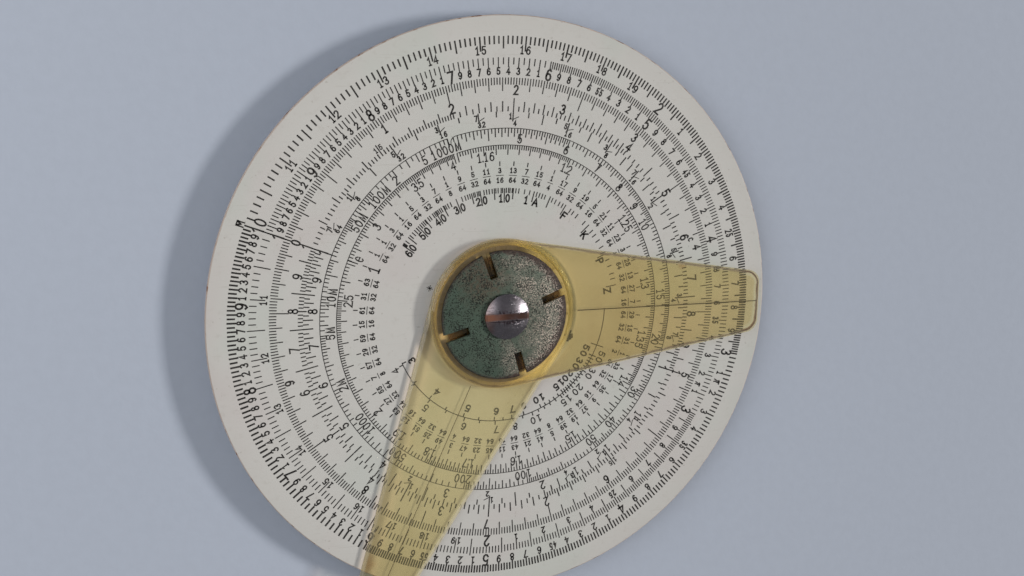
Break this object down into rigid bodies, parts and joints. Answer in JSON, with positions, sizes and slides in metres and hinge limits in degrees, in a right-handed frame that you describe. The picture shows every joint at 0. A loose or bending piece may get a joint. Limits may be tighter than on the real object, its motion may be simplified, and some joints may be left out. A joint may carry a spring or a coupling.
{
  "type": "circular slide rule",
  "caption": "Hand-held circular slide rule: a white enamelled metal disc with printed scales and celluloid cursors that turn on a central screw.",
  "frame": {"origin": "on the pivot axis, in the flat rear face of the barrel's flange, which the rule lies on", "axes": "+Z along the pivot out of the printed front; +X along the short front cursor's hairline at rest"},
  "size_m": [0.1032, 0.1078, 0.0083],
  "materials": {
    "enamel": "warm white baked enamel, semi-matt, with fine black print and small rust chips at the rim",
    "brass": "turned brass, dulled by age",
    "screw_steel": "polished steel with a rusty driver slot",
    "spring_metal": "plated spring metal with a speckled green-grey patina, worn at the rim",
    "fibre": "pressed fibre, pale brown",
    "celluloid": "clear celluloid, yellowed with age, glossy, with bevelled edges"
  },
  "bodies": {
    "disc": {"scale_disc": "enamel", "pivot_barrel": "brass", "pivot_screw": "screw_steel", "front_spring_washer": "spring_metal", "front_friction_washer": "fibre", "rear_friction_washer": "fibre", "rear_spring_washer": "spring_metal"},
    "long_cursor": {"long_cursor": "celluloid", "clutch_washer": "fibre"},
    "short_cursor": {"short_cursor": "celluloid"},
    "rear_cursor": {"rear_cursor": "celluloid"}
  },
  "joints": [
    {"name": "long_cursor_turn", "type": "hinge", "parent": "disc", "child": "long_cursor", "pos_m": [0, 0, 0.0046], "axis": [0, 0, 1], "continuous": true},
    {"name": "short_cursor_turn", "type": "hinge", "parent": "long_cursor", "child": "short_cursor", "pos_m": [0, 0, 0.0054], "axis": [0, 0, 1], "continuous": true},
    {"name": "rear_cursor_turn", "type": "hinge", "parent": "disc", "child": "rear_cursor", "pos_m": [0, 0, 0.0024], "axis": [0, 0, 1], "continuous": true}
  ]
}
